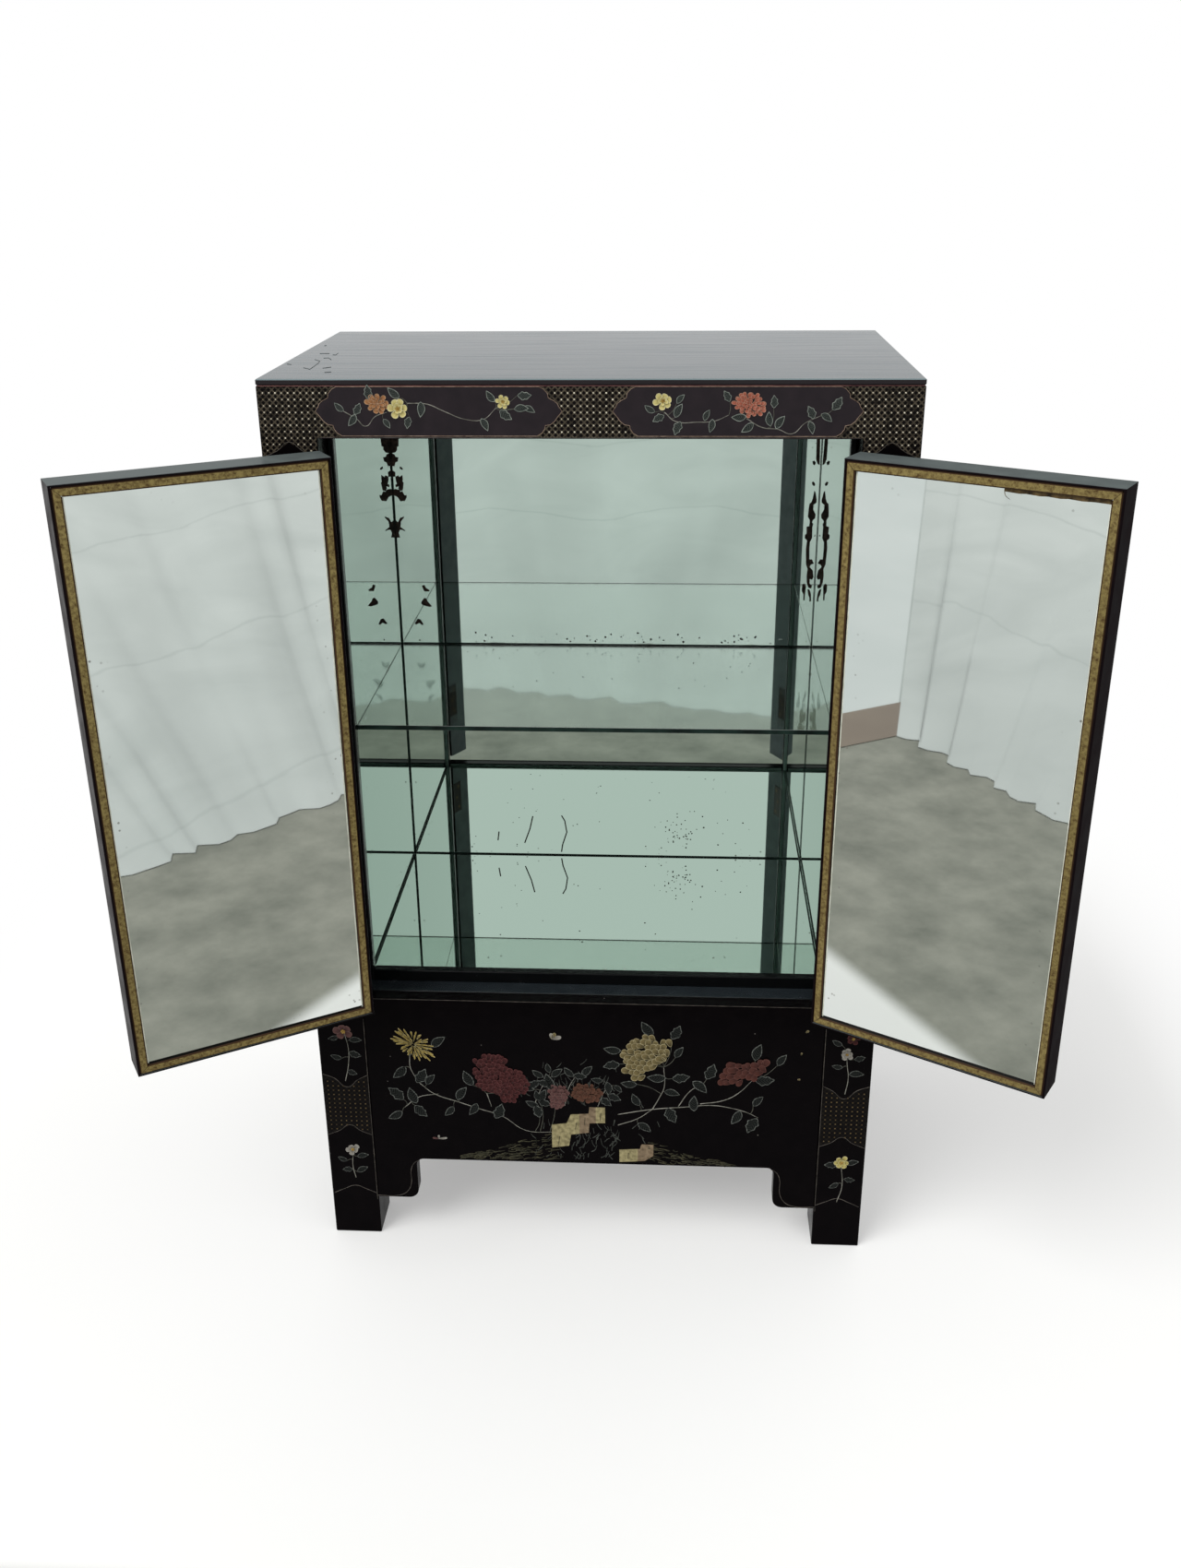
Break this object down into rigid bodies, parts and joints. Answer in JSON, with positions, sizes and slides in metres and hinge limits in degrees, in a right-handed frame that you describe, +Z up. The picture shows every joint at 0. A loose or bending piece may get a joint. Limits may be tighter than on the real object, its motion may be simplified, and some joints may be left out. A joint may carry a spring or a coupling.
{
  "type": "bar cabinet",
  "caption": "Black lacquer bar cabinet with hinged doors mirrored inside, a mirror-lined interior with a glass shelf, painted floral panels and square post legs.",
  "frame": {"origin": "on the floor, under the middle of the whole object's box with its doors open as at rest", "axes": "+Z up, +X to the right as seen from the front, +Y from the front to the back; the doors open towards -Y"},
  "size_m": [1.1526, 0.6655, 1.22],
  "materials": {
    "black_lacquer": "glossy black lacquer over wood, painted ornament",
    "unpainted_wood": "plain planed wood",
    "silvered_glass": "silvered mirror glass with age spots",
    "clear_glass": "clear float glass with a dark green edge",
    "gilt_wood": "worn gilding",
    "brass": "aged brass"
  },
  "bodies": {
    "case": {"top_panel": "black_lacquer", "post_front_left": "black_lacquer", "post_front_right": "black_lacquer", "post_back_left": "black_lacquer", "post_back_right": "black_lacquer", "frieze_rail": "black_lacquer", "sill_rail": "black_lacquer", "top_rail_left": "black_lacquer", "top_rail_right": "black_lacquer", "top_rail_back": "black_lacquer", "apron_front": "black_lacquer", "apron_left": "black_lacquer", "apron_right": "black_lacquer", "apron_back": "black_lacquer", "side_panel_left": "black_lacquer", "side_panel_right": "black_lacquer", "back_panel": "black_lacquer", "ceiling_board": "black_lacquer", "floor_board": "unpainted_wood", "lining_left": "unpainted_wood", "lining_right": "unpainted_wood", "door_stop_bottom": "black_lacquer", "door_stop_left": "black_lacquer", "door_stop_right": "black_lacquer", "floor_mirror": "silvered_glass", "back_mirror_lower": "silvered_glass", "back_mirror_upper": "silvered_glass", "side_mirror_left_lower": "silvered_glass", "side_mirror_left_upper": "silvered_glass", "side_mirror_right_lower": "silvered_glass", "side_mirror_right_upper": "silvered_glass", "glass_shelf": "clear_glass", "hinge_left_lower_case_leaf": "brass", "hinge_left_lower_pin": "brass", "hinge_left_upper_case_leaf": "brass", "hinge_left_upper_pin": "brass", "hinge_right_lower_case_leaf": "brass", "hinge_right_lower_pin": "brass", "hinge_right_upper_case_leaf": "brass", "hinge_right_upper_pin": "brass"},
    "left_door": {"door_left_panel": "black_lacquer", "door_left_mirror": "silvered_glass", "door_left_bead_top": "gilt_wood", "door_left_bead_bottom": "gilt_wood", "door_left_bead_hinge": "gilt_wood", "door_left_bead_meeting": "gilt_wood", "door_left_knob": "brass", "hinge_left_lower_door_leaf": "brass", "hinge_left_upper_door_leaf": "brass"},
    "right_door": {"door_right_panel": "black_lacquer", "door_right_mirror": "silvered_glass", "door_right_bead_top": "gilt_wood", "door_right_bead_bottom": "gilt_wood", "door_right_bead_hinge": "gilt_wood", "door_right_bead_meeting": "gilt_wood", "door_right_knob": "brass", "hinge_right_lower_door_leaf": "brass", "hinge_right_upper_door_leaf": "brass"}
  },
  "joints": [
    {"name": "left_door_hinge", "type": "hinge", "parent": "case", "child": "left_door", "pos_m": [-0.31175, -0.134, 0.772], "axis": [0, 0, -1], "range_deg": [-149.5, 25]},
    {"name": "right_door_hinge", "type": "hinge", "parent": "case", "child": "right_door", "pos_m": [0.31175, -0.134, 0.772], "axis": [0, 0, 1], "range_deg": [-149.5, 25]}
  ]
}
